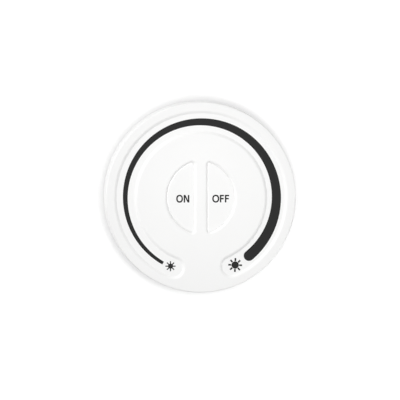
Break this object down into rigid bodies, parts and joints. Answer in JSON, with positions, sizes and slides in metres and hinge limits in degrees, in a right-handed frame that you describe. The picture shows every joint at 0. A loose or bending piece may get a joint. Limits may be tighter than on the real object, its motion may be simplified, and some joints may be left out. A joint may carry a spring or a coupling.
{
  "type": "wireless dimmer switch",
  "caption": "Round battery-powered remote with a C-shaped touch dimming track, ON and OFF keys, a coin-cell door and keyhole slots behind.",
  "frame": {"origin": "middle of the plane that the four feet stand on, under the crown of the face", "axes": "+Z out of the face, +Y up on the wall (the open end of the track points to -Y), +X to the right as seen from the front"},
  "size_m": [0.07, 0.07, 0.0126],
  "materials": {
    "case_plastic": "fine moulded satin white",
    "key_plastic": "fine moulded satin white",
    "rear_plastic": "spark-eroded matt white",
    "frame_plastic": "grey moulded",
    "film": "amber polyimide",
    "copper": "etched copper foil",
    "connector_plastic": "black moulded",
    "board": "green solder mask",
    "chip_epoxy": "black moulding compound",
    "component_ceramic": "fired",
    "tin": "tin plated",
    "shield_steel": "tin plated sheet",
    "contact_steel": "nickel plated spring sheet",
    "cell_steel": "drawn stainless",
    "gasket_nylon": "natural nylon",
    "screw_steel": "zinc plated",
    "foot_rubber": "soft grey",
    "plunger_plastic": "dark moulded"
  },
  "bodies": {
    "case": {"front_cover": "case_plastic", "key_guide_frame": "frame_plastic", "touch_film": "film", "touch_electrodes": "copper", "film_connector": "connector_plastic", "main_board": "board", "switch_terminals": "tin", "radio_chip": "chip_epoxy", "shield_can": "shield_steel", "crystal": "shield_steel", "chip_antenna": "component_ceramic", "touch_chip": "chip_epoxy", "board_capacitors": "component_ceramic", "board_resistors": "chip_epoxy", "contact_positive": "contact_steel", "contact_negative": "contact_steel", "cell_can": "cell_steel", "cell_gasket": "gasket_nylon", "cell_cap": "cell_steel", "rear_cover": "rear_plastic", "case_screws": "screw_steel", "feet": "foot_rubber", "on_switch_base": "chip_epoxy", "off_switch_base": "chip_epoxy", "on_switch_cover": "contact_steel", "off_switch_cover": "contact_steel", "on_switch_dome": "contact_steel", "off_switch_dome": "contact_steel"},
    "on_key": {"on_keycap": "key_plastic", "on_switch_plunger": "plunger_plastic"},
    "off_key": {"off_keycap": "key_plastic", "off_switch_plunger": "plunger_plastic"},
    "door": {"battery_door": "rear_plastic"}
  },
  "joints": [
    {"name": "on_press", "type": "slide", "parent": "case", "child": "on_key", "axis": [0, 0, -1], "range_m": [0, 0.0003], "stiffness_N_per_m": 5000, "deforming": ["on_switch_dome"]},
    {"name": "off_press", "type": "slide", "parent": "case", "child": "off_key", "axis": [0, 0, -1], "range_m": [0, 0.0003], "stiffness_N_per_m": 5000, "deforming": ["off_switch_dome"]},
    {"name": "door_turn", "type": "hinge", "parent": "case", "child": "door", "pos_m": [0, 0, 0.002], "axis": [0, 0, -1], "range_deg": [0, 35]}
  ]
}
